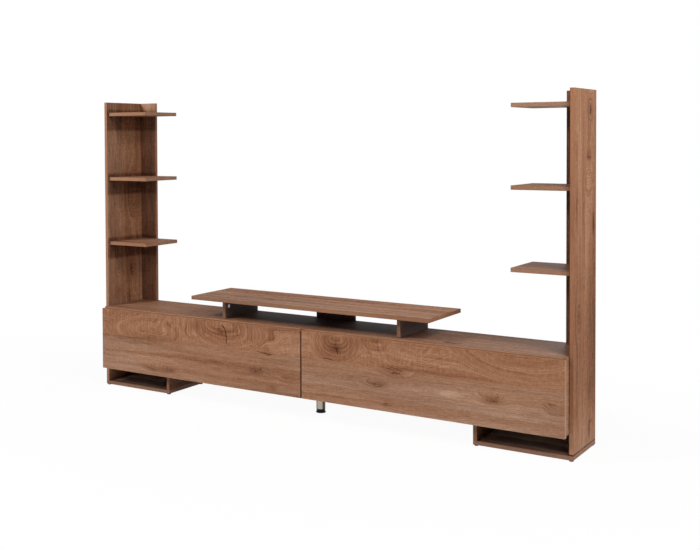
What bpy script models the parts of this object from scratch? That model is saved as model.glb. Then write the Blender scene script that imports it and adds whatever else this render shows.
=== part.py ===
"""Television wall unit: a low cabinet with two lift-up flaps between two open shelf towers.

Metres, +Z up. The origin is on the floor, in the middle of the width and of the depth.
+X is the right-hand end as seen from the front, and +Y points to the wall.
"""

import math

import bmesh
import bpy
from mathutils import Matrix, Vector

# Boards
board = 0.016
back_sheet = 0.003
edge_ease = 0.0008
seat_gap = 0.0003
overrun = 0.002

# Towers
total_width = 2.200
tower_height = 1.325
tower_depth = 0.260
back_strip_width = 0.090
shelf_width = 0.220
shelf_setback = 0.012
top_shelf_below_top = 0.048
shelf_names = ("low", "middle", "top")

# Plinths
plinth_width = 0.376
plinth_clear = 0.0767
glide_height = 0.004
glide_radius = 0.009
glide_neck_radius = 0.007
glide_inset = 0.010

# Cabinet
cabinet_height = 0.277
cabinet_ahead = 0.026
flap_middle_gap = 0.003
flap_overhang = 0.0076
flap_drop = 0.0063

# Continuous hinges
leaf = 0.0007
leaf_height = 0.013
knuckle_radius = 0.0022
knuckle_bore_radius = 0.00135
hinge_pin_radius = 0.001
hinge_inset = 0.010
knuckles = 18
knuckle_sides = 12

# Gas struts
stud_behind_flap = 0.015
stud_below_axis = 0.036
strut_pivot_back = 0.146
strut_pivot_below_top = 0.023
strut_from_end = 0.012
strut_cylinder_radius = 0.0075
strut_cylinder_length = 0.090
strut_rod_radius = 0.003
strut_rod_clearance = 0.0005
strut_rod_tip_from_pivot = 0.030
strut_eye_radius = 0.006
strut_eye_width = 0.010
strut_neck_radius = 0.0035
strut_neck_length = 0.012
stud_radius = 0.0035
bracket_sheet = 0.002
bracket_width = 0.022
bracket_length = 0.026
bracket_ear_margin = 0.006
bracket_ear_height = 0.014
flap_bracket_clearance = 0.0015

# Riser for the television
riser_width = 1.130
riser_depth = 0.300
riser_clear = 0.076
riser_overhang = 0.139
riser_support_depth = 0.252
riser_support_back_inset = 0.008
riser_centre_support_width = 0.186
cam_radius = 0.0075
cam_length = 0.0125
cam_below_board = 0.025
cam_inset = 0.026
cam_slot_length = 0.009
cam_slot_width = 0.0016
cam_slot_depth = 0.0015

# Middle leg
leg_radius = 0.019
leg_wall = 0.0012
leg_from_cabinet_front = 0.139
leg_plate_side = 0.070
leg_plate_sheet = 0.0025
leg_plate_corner = 0.010
leg_hole_radius = 0.0025
leg_hole_inset = 0.011
foot_flange_radius = 0.0203
foot_flange_height = 0.005
foot_height = 0.014
foot_body_radius = 0.0178
foot_stem_radius = 0.005
foot_stem_length = 0.040
insert_height = 0.020
insert_collar_height = 0.002
stem_clearance = 0.0004

# Fineness of round shapes
round_sides = 24
small_sides = 16
corner_steps = 4
round_corner_share = 0.5
sharp_from_degrees = 35

# Planes that the pieces share
flap_gap = 3 * seat_gap + 2 * leaf
overall_depth = tower_depth + cabinet_ahead + flap_gap + board
back_y = overall_depth / 2
tower_front_y = back_y - tower_depth
cabinet_front_y = tower_front_y - cabinet_ahead
flap_back_y = cabinet_front_y - flap_gap
half_width = total_width / 2
tower_inner_x = half_width - board
cabinet_half = tower_inner_x - seat_gap
cabinet_end_inner_x = cabinet_half - board
plinth_bottom_z = glide_height + seat_gap
plinth_floor_z = plinth_bottom_z + board
cabinet_underside_z = plinth_floor_z + plinth_clear
cabinet_top_z = cabinet_underside_z + cabinet_height
cabinet_floor_z = cabinet_underside_z + board
cabinet_ceiling_z = cabinet_top_z - board
flap_top_z = cabinet_top_z - flap_drop
flap_bottom_z = cabinet_underside_z - flap_overhang
axis_y = cabinet_front_y - seat_gap - knuckle_radius
axis_z = flap_top_z + seat_gap + knuckle_radius
shelf_pitch = (tower_height - top_shelf_below_top - cabinet_top_z) / len(shelf_names)
riser_underside_z = cabinet_top_z + riser_clear
riser_top_z = riser_underside_z + board
riser_support_back_y = back_y - riser_support_back_inset
riser_support_front_y = riser_support_back_y - riser_support_depth
riser_support_outer_x = riser_width / 2 - riser_overhang
riser_support_inner_x = riser_support_outer_x - board
leg_y = cabinet_front_y + leg_from_cabinet_front
strut_x = cabinet_end_inner_x - strut_from_end
stud_y = flap_back_y + stud_behind_flap
stud_z = axis_z - stud_below_axis
pivot_y = cabinet_front_y + strut_pivot_back
pivot_z = cabinet_ceiling_z - strut_pivot_below_top
strut_length = math.hypot(pivot_y - stud_y, pivot_z - stud_z)
strut_angle = math.atan2(pivot_z - stud_z, pivot_y - stud_y)


def clear_scene():
    for thing in list(bpy.data.objects):
        bpy.data.objects.remove(thing, do_unlink=True)


def material(name, colour, roughness, metallic):
    finish = bpy.data.materials.new(name)
    finish.use_nodes = True
    shader = finish.node_tree.nodes["Principled BSDF"]
    shader.inputs["Base Color"].default_value = (*colour, 1)
    shader.inputs["Roughness"].default_value = roughness
    shader.inputs["Metallic"].default_value = metallic
    finish.diffuse_color = (*colour, 1)
    return finish


def make(name, bm, finish, location=(0, 0, 0), rotation=(0, 0, 0), smooth=False):
    """Turns a bmesh into a named object with one finish."""
    bmesh.ops.recalc_face_normals(bm, faces=bm.faces)
    mesh = bpy.data.meshes.new(name)
    bm.to_mesh(mesh)
    bm.free()
    if smooth:
        mesh.shade_smooth()
        mesh.set_sharp_from_angle(angle=math.radians(sharp_from_degrees))
    if finish:
        mesh.materials.append(finish)
    piece = bpy.data.objects.new(name, mesh)
    piece.location = location
    piece.rotation_euler = rotation
    bpy.context.collection.objects.link(piece)
    return piece


def add_box(bm, low, high):
    """Adds a box between two corners."""
    low, high = Vector(low), Vector(high)
    size = high - low
    place = Matrix.Translation((low + high) / 2) @ Matrix.Diagonal((*size, 1))
    bmesh.ops.create_cube(bm, size=1, matrix=place)


def add_turned(bm, profile, sides, place=None, closed=False):
    """Turns (radius, height) points about Z. A closed profile makes a tube, an open one ends on the axis."""
    place = place or Matrix.Identity(4)
    rings = []
    for radius, height in profile:
        if radius == 0:
            rings.append([bm.verts.new(place @ Vector((0, 0, height)))])
            continue
        ring = []
        for step in range(sides):
            angle = 2 * math.pi * step / sides
            point = Vector((radius * math.cos(angle), radius * math.sin(angle), height))
            ring.append(bm.verts.new(place @ point))
        rings.append(ring)
    pairs = list(zip(rings, rings[1:]))
    if closed:
        pairs.append((rings[-1], rings[0]))
    for lower, upper in pairs:
        for step in range(sides):
            after = (step + 1) % sides
            corners = []
            for ring, order in ((lower, (step, after)), (upper, (after, step))):
                corners += [ring[0]] if len(ring) == 1 else [ring[i] for i in order]
            bm.faces.new(corners)


def rod_profile(radius, low, high):
    return [(0, low), (radius, low), (radius, high), (0, high)]


def ease(piece, width=edge_ease):
    """Breaks the sharp edges, as edge banding does."""
    bevel = piece.modifiers.new("eased edges", "BEVEL")
    bevel.width = width
    bevel.segments = 1
    bevel.limit_method = "ANGLE"


def board_piece(name, low, high, finish):
    """A straight-cut board, with its origin at its middle."""
    middle = (Vector(low) + Vector(high)) / 2
    bm = bmesh.new()
    add_box(bm, Vector(low) - middle, Vector(high) - middle)
    piece = make(name, bm, finish, middle)
    ease(piece)
    return piece


def helper(name, bm):
    """A cutter or an added lump that only serves a Boolean."""
    tool = make(name, bm, None)
    tool.hide_render = True
    tool.display_type = "WIRE"
    return tool


def combine(piece, tool, operation):
    """Cuts a helper from a piece, or joins it on."""
    step = piece.modifiers.new(tool.name, "BOOLEAN")
    step.operation = operation
    step.solver = "EXACT"
    step.object = tool


def hang(piece, axis):
    """Parents a piece to the empty on its axis, with its place in the world as it was."""
    piece.parent = axis
    piece.location -= axis.location


def empty(name, location):
    axis = bpy.data.objects.new(name, None)
    axis.location = location
    axis.empty_display_size = board
    bpy.context.collection.objects.link(axis)
    return axis


def span(inner, outer, side):
    """Lower and upper x of what lies between two distances from the middle, on one side."""
    return (inner, outer) if side > 0 else (-outer, -inner)


def between(inner, outer, side, y, z):
    """Two corners of a box on one side of the middle."""
    x = span(inner, outer, side)
    return (x[0], y[0], z[0]), (x[1], y[1], z[1])


def make_tower(word, side, wood):
    """A tall side panel, the narrow strip behind it and its three shelves."""
    depth = (tower_front_y, back_y)
    height = (plinth_floor_z + seat_gap, tower_height)
    board_piece(f"side_panel_{word}", *between(tower_inner_x, half_width, side, depth, height), wood)
    shelf_end = tower_inner_x - seat_gap
    strip_y = (back_y - board, back_y)
    strip_z = (cabinet_top_z + seat_gap, tower_height)
    strip_inner = tower_inner_x - back_strip_width
    board_piece(f"tower_back_{word}", *between(strip_inner, shelf_end, side, strip_y, strip_z), wood)
    shelf_y = (tower_front_y + shelf_setback, back_y - board - seat_gap)
    for step, level in enumerate(shelf_names, 1):
        top = cabinet_top_z + step * shelf_pitch
        corners = between(tower_inner_x - shelf_width, shelf_end, side, shelf_y, (top - board, top))
        board_piece(f"shelf_{word}_{level}", *corners, wood)


def make_plinth(word, side, wood, sheet):
    """The open box that each end of the cabinet stands on."""
    depth = (tower_front_y, back_y)
    inner = half_width - plinth_width
    floor_z = (plinth_bottom_z, plinth_floor_z)
    board_piece(f"plinth_bottom_{word}", *between(inner, half_width, side, depth, floor_z), wood)
    wall_z = (plinth_floor_z + seat_gap, cabinet_underside_z - seat_gap)
    corners = between(inner, inner + board, side, depth, wall_z)
    board_piece(f"plinth_inner_side_{word}", *corners, wood)
    sheet_y = (back_y - back_sheet, back_y)
    corners = between(inner + board + seat_gap, tower_inner_x - seat_gap, side, sheet_y, wall_z)
    board_piece(f"plinth_back_{word}", *corners, sheet)


def make_glides(word, side, plastic):
    """A nail-in glide under each corner of a plinth."""
    across = (half_width - plinth_width + glide_inset, half_width - glide_inset)
    along = (tower_front_y + glide_inset, back_y - glide_inset)
    places = {"inner": across[0], "outer": across[1]}
    for row, y in zip(("front", "rear"), along):
        for column, x in places.items():
            bm = bmesh.new()
            profile = [(0, 0), (glide_neck_radius, 0), (glide_radius, glide_height / 2)]
            profile += [(glide_radius, glide_height), (0, glide_height)]
            add_turned(bm, profile, small_sides)
            name = f"glide_{word}_{row}_{column}"
            make(name, bm, plastic, (side * x, y, 0), smooth=True)


def make_cabinet(wood, sheet):
    """The long box: top, bottom, two ends, the divider and two back sheets."""
    depth = (cabinet_front_y, back_y)
    for name, z in (("cabinet_top", cabinet_ceiling_z), ("cabinet_bottom", cabinet_underside_z)):
        low = (-cabinet_half, depth[0], z)
        board_piece(name, low, (cabinet_half, depth[1], z + board), wood)
    wall_z = (cabinet_floor_z + seat_gap, cabinet_ceiling_z - seat_gap)
    sheet_y = (back_y - back_sheet, back_y)
    half_board = board / 2
    low = (-half_board, depth[0], wall_z[0])
    board_piece("cabinet_divider", low, (half_board, depth[1], wall_z[1]), wood)
    for word, side in (("left", -1), ("right", 1)):
        corners = between(cabinet_end_inner_x, cabinet_half, side, depth, wall_z)
        board_piece(f"cabinet_end_{word}", *corners, wood)
        inner = half_board + seat_gap
        corners = between(inner, cabinet_end_inner_x - seat_gap, side, sheet_y, wall_z)
        board_piece(f"cabinet_back_{word}", *corners, sheet)


def make_riser(wood, zinc):
    """The raised board for the television, its three supports and the cam locks in two of them."""
    low = (-riser_width / 2, back_y - riser_depth, riser_underside_z)
    board_piece("riser_board", low, (riser_width / 2, back_y, riser_top_z), wood)
    z = (cabinet_top_z + seat_gap, riser_underside_z - seat_gap)
    half = riser_centre_support_width / 2
    low = (-half, riser_support_back_y - board, z[0])
    board_piece("riser_support_centre", low, (half, riser_support_back_y, z[1]), wood)
    y = (riser_support_front_y, riser_support_back_y)
    for word, side in (("left", -1), ("right", 1)):
        corners = between(riser_support_inner_x, riser_support_outer_x, side, y, z)
        support = board_piece(f"riser_support_{word}", *corners, wood)
        places = {"front": y[0] + cam_inset, "rear": y[1] - cam_inset}
        for row, cam_y in places.items():
            face = (side * riser_support_inner_x, cam_y, riser_underside_z - cam_below_board)
            make_cam(f"riser_cam_{word}_{row}", face, side, support, zinc)


def make_cam(name, face, side, support, zinc):
    """A cam lock housing let into the inner face of a support, with its crossed slot."""
    into = Matrix.Translation(face) @ Matrix.Rotation(side * math.pi / 2, 4, "Y")
    bore = bmesh.new()
    depth = cam_length + seat_gap
    add_turned(bore, rod_profile(cam_radius + seat_gap, -overrun, depth), round_sides, into)
    combine(support, helper(f"{name} bore", bore), "DIFFERENCE")
    bm = bmesh.new()
    add_turned(bm, rod_profile(cam_radius, 0, cam_length), round_sides, into)
    cam = make(name, bm, zinc, smooth=True)
    slot = bmesh.new()
    half_length, half_width_of_slot = cam_slot_length / 2, cam_slot_width / 2
    reach = span(-overrun, cam_slot_depth, side)
    for half_y, half_z in ((half_length, half_width_of_slot), (half_width_of_slot, half_length)):
        low = (face[0] + reach[0], face[1] - half_y, face[2] - half_z)
        add_box(slot, low, (face[0] + reach[1], face[1] + half_y, face[2] + half_z))
    cross = helper(f"{name} slot", slot)
    combine(cam, cross, "DIFFERENCE")
    cam.modifiers[-1].use_self = True


def hinge_leaf(name, x, plate_y, tab_top, first, finish):
    """One leaf of a continuous hinge: the plate, and a knuckle with its tab at every second step."""
    step = (x[1] - x[0]) / knuckles
    low_z, plate_top = axis_z - leaf_height, axis_z - knuckle_radius - seat_gap
    bm = bmesh.new()
    add_box(bm, (x[0], plate_y[0], low_z), (x[1], plate_y[1], plate_top))
    leaf_piece = make(name, bm, finish)
    tabs, rings = bmesh.new(), bmesh.new()
    along = Matrix.Rotation(math.pi / 2, 4, "Y")
    for place in range(first, knuckles, 2):
        start = x[0] + place * step + seat_gap
        end = x[0] + (place + 1) * step - seat_gap
        tab_start = start + leaf
        tab_end = end - leaf
        add_box(tabs, (tab_start, plate_y[0], plate_top - leaf), (tab_end, plate_y[1], tab_top))
        profile = [(knuckle_bore_radius, 0), (knuckle_radius, 0)]
        profile += [(knuckle_radius, end - start), (knuckle_bore_radius, end - start)]
        at = Matrix.Translation((start, axis_y, axis_z)) @ along
        add_turned(rings, profile, knuckle_sides, at, closed=True)
    combine(leaf_piece, helper(f"{name} tabs", tabs), "UNION")
    combine(leaf_piece, helper(f"{name} knuckles", rings), "UNION")
    return leaf_piece


def make_flap(word, side, wood, hinge_steel):
    """A flap on its continuous hinge. The axis runs along the flap's upper back edge."""
    inner, outer = flap_middle_gap / 2, tower_inner_x
    axis = empty(f"flap_{word}_axis", (side * (inner + outer) / 2, axis_y, axis_z))
    y = (flap_back_y - board, flap_back_y)
    corners = between(inner, outer, side, y, (flap_bottom_z, flap_top_z))
    flap = board_piece(f"flap_{word}", *corners, wood)
    x = span(inner + hinge_inset, outer - hinge_inset, side)
    fixed_y = (cabinet_front_y - seat_gap - leaf, cabinet_front_y - seat_gap)
    moving_y = (flap_back_y + seat_gap, flap_back_y + seat_gap + leaf)
    hinge_leaf(f"hinge_{word}_fixed_leaf", x, fixed_y, axis_z, 0, hinge_steel)
    tab_top = axis_z - (knuckle_radius + knuckle_bore_radius) / 2
    moving_leaf = hinge_leaf(f"hinge_{word}_moving_leaf", x, moving_y, tab_top, 1, hinge_steel)
    bm = bmesh.new()
    at = Matrix.Translation((x[0], axis_y, axis_z)) @ Matrix.Rotation(math.pi / 2, 4, "Y")
    add_turned(bm, rod_profile(hinge_pin_radius, 0, x[1] - x[0]), knuckle_sides, at)
    make(f"hinge_{word}_pin", bm, hinge_steel, smooth=True)
    hang(flap, axis)
    hang(moving_leaf, axis)
    return axis


def crosswise(radius, width):
    """Profile and turn of a short barrel that lies along X about the origin."""
    return rod_profile(radius, -width / 2, width / 2), Matrix.Rotation(math.pi / 2, 4, "Y")


def make_strut(word, side, axis, steel, black):
    """A gas strut: the rod turns on the flap's stud, and the cylinder slides along it."""
    x = side * strut_x
    lean = (strut_angle, 0, 0)
    to_pivot = Matrix.Rotation(-math.pi / 2, 4, "X")
    eye, eye_turn = crosswise(strut_eye_radius, strut_eye_width)

    bm = bmesh.new()
    add_turned(bm, eye, small_sides, eye_turn)
    rod = make(f"strut_{word}_rod", bm, steel, (x, stud_y, stud_z), lean, smooth=True)
    bm = bmesh.new()
    tip = strut_length - strut_rod_tip_from_pivot
    add_turned(bm, rod_profile(strut_rod_radius, strut_eye_radius / 2, tip), small_sides, to_pivot)
    shaft = helper(f"strut_{word}_shaft", bm)
    shaft.location, shaft.rotation_euler = rod.location, rod.rotation_euler
    combine(rod, shaft, "UNION")
    hang(rod, axis)

    bm = bmesh.new()
    add_turned(bm, eye, small_sides, eye_turn)
    cylinder = make(f"strut_{word}_cylinder", bm, black, (x, pivot_y, pivot_z), lean, smooth=True)
    bm = bmesh.new()
    bore = strut_rod_radius + strut_rod_clearance
    open_end = strut_neck_length + strut_cylinder_length
    bore_end = strut_neck_length + (strut_rod_tip_from_pivot - strut_neck_length) / 2
    profile = [(0, strut_eye_radius / 2), (strut_neck_radius, strut_eye_radius / 2)]
    profile += [(strut_neck_radius, strut_neck_length), (strut_cylinder_radius, strut_neck_length)]
    profile += [(strut_cylinder_radius, open_end), (bore, open_end), (bore, bore_end), (0, bore_end)]
    add_turned(bm, profile, small_sides, Matrix.Rotation(math.pi / 2, 4, "X"))
    barrel = helper(f"strut_{word}_barrel", bm)
    barrel.location, barrel.rotation_euler = cylinder.location, cylinder.rotation_euler
    combine(cylinder, barrel, "UNION")


def make_strut_brackets(word, side, axis, steel):
    """The plate and stud on the cabinet's end, and the angled plate and stud on the flap."""
    wall_face = cabinet_end_inner_x - seat_gap
    eye_face = strut_x + strut_eye_width / 2 + seat_gap

    bm = bmesh.new()
    plate = (wall_face - bracket_sheet, wall_face)
    half_length, half_width_of_plate = bracket_length / 2, bracket_width / 2
    y, z = (pivot_y - half_length, pivot_y + half_length), pivot_z
    lift = (z - half_width_of_plate, z + half_width_of_plate)
    add_box(bm, *between(*plate, side, y, lift))
    fixed = make(f"strut_{word}_wall_bracket", bm, steel)
    bm = bmesh.new()
    stud = rod_profile(stud_radius, eye_face, plate[1] - bracket_sheet / 2)
    at = Matrix.Translation((0, pivot_y, pivot_z)) @ Matrix.Rotation(side * math.pi / 2, 4, "Y")
    add_turned(bm, stud, small_sides, at)
    combine(fixed, helper(f"strut_{word}_wall_stud", bm), "UNION")

    bm = bmesh.new()
    ear_outer = cabinet_end_inner_x - flap_bracket_clearance
    ear_x = (ear_outer - bracket_sheet, ear_outer)
    plate_x = (ear_x[1] - bracket_width, ear_x[1])
    plate_y = (flap_back_y + seat_gap, flap_back_y + seat_gap + bracket_sheet)
    half_height = bracket_length / 2
    lift = (stud_z - half_height, stud_z + half_height)
    add_box(bm, *between(*plate_x, side, plate_y, lift))
    moving = make(f"strut_{word}_flap_bracket", bm, steel)
    bm = bmesh.new()
    ear_y = (plate_y[0] + bracket_sheet / 2, stud_y + bracket_ear_margin)
    half_ear = bracket_ear_height / 2
    add_box(bm, *between(*ear_x, side, ear_y, (stud_z - half_ear, stud_z + half_ear)))
    combine(moving, helper(f"strut_{word}_flap_ear", bm), "UNION")
    bm = bmesh.new()
    stud = rod_profile(stud_radius, eye_face, ear_x[1] - bracket_sheet / 2)
    at = Matrix.Translation((0, stud_y, stud_z)) @ Matrix.Rotation(side * math.pi / 2, 4, "Y")
    add_turned(bm, stud, small_sides, at)
    combine(moving, helper(f"strut_{word}_flap_stud", bm), "UNION")
    hang(moving, axis)


def make_leg(chrome, steel, plastic):
    """The middle leg: fixing plate, tube, threaded insert and levelling foot."""
    plate_top = cabinet_underside_z - seat_gap
    plate_bottom = plate_top - leg_plate_sheet
    half = leg_plate_side / 2
    bm = bmesh.new()
    add_box(bm, (-half, leg_y - half, plate_bottom), (half, leg_y + half, plate_top))
    upright = [e for e in bm.edges if abs((e.verts[0].co - e.verts[1].co).z) > leg_plate_sheet / 2]
    bmesh.ops.bevel(
        bm,
        geom=upright,
        offset=leg_plate_corner,
        segments=corner_steps,
        affect="EDGES",
        profile=round_corner_share,
    )
    plate = make("leg_plate", bm, steel)
    holes = bmesh.new()
    hole_at = half - leg_hole_inset
    for x in (-hole_at, hole_at):
        for y in (leg_y - hole_at, leg_y + hole_at):
            profile = rod_profile(leg_hole_radius, plate_bottom - overrun, plate_top + overrun)
            add_turned(holes, profile, small_sides, Matrix.Translation((x, y, 0)))
    combine(plate, helper("leg_plate holes", holes), "DIFFERENCE")

    tube_bottom = foot_height + seat_gap + insert_collar_height + seat_gap
    tube_top = plate_bottom - seat_gap
    bore = leg_radius - leg_wall
    bm = bmesh.new()
    profile = [(bore, tube_bottom), (leg_radius, tube_bottom), (leg_radius, tube_top), (bore, tube_top)]
    add_turned(bm, profile, round_sides, closed=True)
    make("leg_tube", bm, chrome, (0, leg_y, 0), smooth=True)

    collar = foot_height + seat_gap
    collar_top = collar + insert_collar_height
    insert_top = collar_top + insert_height
    plug = bore - seat_gap
    hole = foot_stem_radius + stem_clearance
    bm = bmesh.new()
    profile = [(hole, collar), (leg_radius, collar), (leg_radius, collar_top), (plug, collar_top)]
    profile += [(plug, insert_top), (hole, insert_top)]
    add_turned(bm, profile, round_sides, closed=True)
    make("leg_insert", bm, plastic, (0, leg_y, 0), smooth=True)

    bm = bmesh.new()
    profile = [(0, 0), (foot_flange_radius, 0), (foot_flange_radius, foot_flange_height)]
    profile += [(foot_body_radius, foot_flange_height), (foot_body_radius, foot_height)]
    stem_top = foot_height + foot_stem_length
    profile += [(foot_stem_radius, foot_height), (foot_stem_radius, stem_top), (0, stem_top)]
    add_turned(bm, profile, round_sides)
    make("leg_foot", bm, plastic, (0, leg_y, 0), smooth=True)


def main():
    clear_scene()
    wood = material("brown oak board", (0.30, 0.155, 0.090), 0.50, 0)
    sheet = material("dark back sheet", (0.040, 0.038, 0.037), 0.60, 0)
    plastic = material("black plastic", (0.012, 0.012, 0.012), 0.45, 0)
    chrome = material("bright chrome", (0.62, 0.62, 0.64), 0.12, 1)
    zinc = material("bright zinc", (0.55, 0.55, 0.56), 0.30, 1)
    steel = material("plated steel", (0.45, 0.45, 0.46), 0.35, 1)
    black_steel = material("black painted steel", (0.015, 0.015, 0.015), 0.35, 0)
    hinge_steel = material("bronzed steel", (0.10, 0.070, 0.050), 0.45, 1)
    make_cabinet(wood, sheet)
    make_riser(wood, zinc)
    make_leg(chrome, steel, plastic)
    for word, side in (("left", -1), ("right", 1)):
        make_tower(word, side, wood)
        make_plinth(word, side, wood, sheet)
        make_glides(word, side, plastic)
        axis = make_flap(word, side, wood, hinge_steel)
        make_strut(word, side, axis, steel, black_steel)
        make_strut_brackets(word, side, axis, steel)


main()
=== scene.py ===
"""Television wall unit in knotty brown oak print, dressed for a studio picture."""

import math

import bmesh
import bpy
from mathutils import Matrix, Vector


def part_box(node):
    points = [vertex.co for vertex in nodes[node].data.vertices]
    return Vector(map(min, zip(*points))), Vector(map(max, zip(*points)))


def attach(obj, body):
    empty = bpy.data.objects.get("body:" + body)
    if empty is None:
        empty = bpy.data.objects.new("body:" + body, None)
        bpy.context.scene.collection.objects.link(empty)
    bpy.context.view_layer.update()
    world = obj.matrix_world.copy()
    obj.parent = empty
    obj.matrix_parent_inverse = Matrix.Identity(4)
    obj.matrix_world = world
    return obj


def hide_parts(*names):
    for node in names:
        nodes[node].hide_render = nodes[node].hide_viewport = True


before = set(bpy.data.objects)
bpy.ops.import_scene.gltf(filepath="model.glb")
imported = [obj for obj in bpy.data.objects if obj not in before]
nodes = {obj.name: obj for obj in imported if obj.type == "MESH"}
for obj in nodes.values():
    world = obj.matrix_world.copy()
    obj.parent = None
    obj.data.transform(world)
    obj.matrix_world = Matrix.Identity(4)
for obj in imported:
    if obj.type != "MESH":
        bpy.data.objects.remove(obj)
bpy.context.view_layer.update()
X, Y, Z = 0, 1, 2


# Places on the solids, which the print, the shades and the fixings follow

LOW, HIGH = 0, 1


def bound(name, end, axis):
    """Where a solid ends on an axis, at its low or its high end."""
    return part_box(name)[end][axis]


FLAP_FACE, FLAP_BACK = bound("flap_left", LOW, Y), bound("flap_left", HIGH, Y)
FLAP_GAP_EDGE, FLAP_OUTER_EDGE = bound("flap_right", LOW, X), bound("flap_right", HIGH, X)
FLAP_FOOT = bound("flap_left", LOW, Z)
CABINET_FRONT = bound("cabinet_end_left", LOW, Y)
CABINET_SIDE = bound("cabinet_end_right", HIGH, X)
CABINET_TOP = bound("cabinet_top", HIGH, Z)
RISER_TOP, RISER_FRONT = bound("riser_board", HIGH, Z), bound("riser_board", LOW, Y)
TALL_OUTER, TALL_INNER = bound("side_panel_right", HIGH, X), bound("side_panel_right", LOW, X)
TALL_FRONT, TALL_FOOT = bound("side_panel_right", LOW, Y), bound("side_panel_right", LOW, Z)
TALL_TOP = bound("side_panel_right", HIGH, Z)
STRIP_FACE = bound("tower_back_left", LOW, Y)
PLINTH_FLOOR_TOP = bound("plinth_bottom_right", HIGH, Z)
PLINTH_INNER_FACE = bound("plinth_inner_side_right", HIGH, X)
PLINTH_MIDDLE = (bound("plinth_bottom_right", LOW, X) + bound("plinth_bottom_right", HIGH, X)) / 2
SHELF_UNDERSIDES = tuple(bound(f"shelf_left_{word}", LOW, Z) for word in ("low", "middle", "top"))
LEG_Y = (bound("leg_tube", LOW, Y) + bound("leg_tube", HIGH, Y)) / 2
LEG_RADIUS = bound("leg_tube", HIGH, X)


# Shader sums


class Value:
    """A shader socket that takes part in sums as a number does."""

    def __init__(self, owner, socket):
        self.owner = owner
        self.socket = socket

    def output(self, name):
        """Another result of the same node."""
        return Value(self.owner, self.socket.node.outputs[name])

    def math(self, operation, *others, clamp=False):
        settings = {"operation": operation, "use_clamp": clamp}
        inputs = dict(enumerate((self, *others)))
        return self.owner.node("ShaderNodeMath", settings, inputs)

    def __add__(self, other):
        return self.math("ADD", other)

    __radd__ = __add__

    def __mul__(self, other):
        return self.math("MULTIPLY", other)

    __rmul__ = __mul__

    def __sub__(self, other):
        return self.math("SUBTRACT", other)

    def __rsub__(self, other):
        return (self * -1).math("ADD", other)

    def __pow__(self, other):
        return self.math("POWER", other)

    def clip(self):
        return self.math("ADD", 0, clamp=True)

    def step(self, low, high):
        """0 below low and 1 above high, with a soft ramp between; low may be the larger."""
        inputs = {"Value": self, "From Min": low, "From Max": high}
        settings = {"interpolation_type": "SMOOTHSTEP"}
        return self.owner.node("ShaderNodeMapRange", settings, inputs)

    def fading(self):
        """1 at 0, and ever closer to 0 above it."""
        return (self * -1).math("EXPONENT")


class Nodes:
    """Makes the shader nodes of one tree."""

    def __init__(self, tree):
        self.tree = tree

    def node(self, kind, settings=None, inputs=None, output=None):
        """Makes one node: its settings first, then the values or links of its sockets."""
        made = self.tree.nodes.new(kind)
        for words, value in (settings or {}).items():
            if words == "stops":
                self.stops(made.color_ramp, value)
            else:
                setattr(made, words, value)
        shown = [socket for socket in made.inputs if socket.enabled]
        for words, value in (inputs or {}).items():
            if isinstance(words, int):
                socket = shown[words]
            else:
                socket = next(s for s in shown if s.name == words)
            self.give(socket, value)
        results = [socket for socket in made.outputs if socket.enabled]
        if output:
            return Value(self, next(s for s in results if s.name == output))
        return Value(self, results[0])

    def give(self, socket, value):
        """Links a value to the socket, or sets a constant on it."""
        if isinstance(value, Value):
            self.tree.links.new(value.socket, socket)
        else:
            socket.default_value = value

    @staticmethod
    def stops(ramp, stops):
        """Sets a ramp's stops from (place, colour) pairs."""
        while len(ramp.elements) < len(stops):
            ramp.elements.new(1)
        for element, (place, colour) in zip(ramp.elements, stops):
            element.position = place
            element.color = (*colour, 1)


class Finish(Nodes):
    """A node material. Constants go on the shader's own sockets."""

    def __init__(self, name, **constants):
        self.material = bpy.data.materials.new(name)
        self.material.use_nodes = True
        super().__init__(self.material.node_tree)
        self.shader = self.tree.nodes["Principled BSDF"]
        self.feed(**constants)
        self.axes = self.parts(self.node("ShaderNodeTexCoord", output="Object"))

    def feed(self, **given):
        """Gives values to the shader's sockets, named in small letters with underscores."""
        for words, value in given.items():
            name = words.replace("_", " ")
            self.give(next(s for s in self.shader.inputs if s.name.lower() == name), value)

    def parts(self, vector):
        split = self.node("ShaderNodeSeparateXYZ", None, {"Vector": vector})
        return [split.output(name) for name in "XYZ"]

    def vector(self, *parts):
        return self.node("ShaderNodeCombineXYZ", None, dict(enumerate(parts)))

    def facing(self, axis):
        """1 on faces that look along the axis and 0 on those beside them."""
        return self.parts(self.node("ShaderNodeTexCoord", output="Normal"))[axis].math("ABSOLUTE")

    def clouds(self, scale, detail=2.0, rough=0.5):
        """Noise in space. scale is the number of clouds in a metre, alike all round or for each axis."""
        scales = scale if isinstance(scale, tuple) else (scale,) * len(self.axes)
        point = self.vector(*(axis * share for axis, share in zip(self.axes, scales)))
        inputs = {"Vector": point, "Scale": 1.0, "Detail": detail, "Roughness": rough}
        return self.node("ShaderNodeTexNoise", None, inputs)

    def streaks(self, along, side, detail=1.0, rough=0.5):
        """Flat noise over two lengths, both counted in streaks."""
        point = self.vector(along, side)
        inputs = {"Vector": point, "Scale": 1.0, "Detail": detail, "Roughness": rough}
        return self.node("ShaderNodeTexNoise", {"noise_dimensions": "2D"}, inputs)

    def mix(self, share, first, second):
        first = first if isinstance(first, Value) else (*first, 1)
        second = second if isinstance(second, Value) else (*second, 1)
        inputs = {"Factor": share, "A": first, "B": second}
        return self.node("ShaderNodeMix", {"data_type": "RGBA"}, inputs)

    def bump(self, height, distance, strength):
        inputs = {"Height": height, "Distance": distance, "Strength": strength}
        self.feed(normal=self.node("ShaderNodeBump", None, inputs))


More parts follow.
